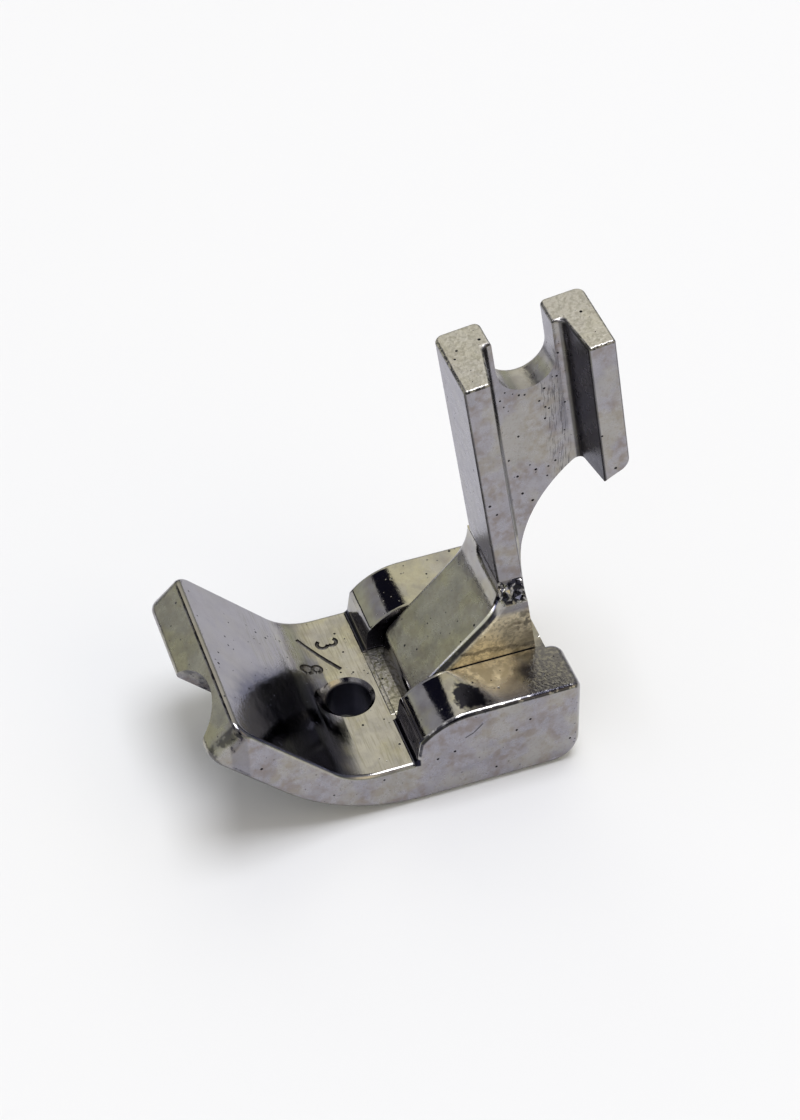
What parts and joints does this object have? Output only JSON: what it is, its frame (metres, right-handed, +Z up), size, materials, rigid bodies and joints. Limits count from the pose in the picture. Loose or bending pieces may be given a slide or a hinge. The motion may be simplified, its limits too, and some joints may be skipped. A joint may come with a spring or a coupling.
{
  "type": "sewing machine presser foot",
  "caption": "Piping presser foot for an industrial sewing machine: upturned toe, needle hole, cord groove under the sole and a leaning channel post with a screw notch.",
  "frame": {"origin": "middle of the foot's bounding box, on the flat of the sole", "axes": "+Z up from the sole, +Y from the upturned toe to the heel, +X towards the open side of the post's channel"},
  "size_m": [0.0136, 0.027, 0.0283],
  "materials": {
    "nickel": "polished nickel plate over a steel casting"
  },
  "bodies": {
    "root": {"presser_foot": "nickel"}
  },
  "joints": []
}
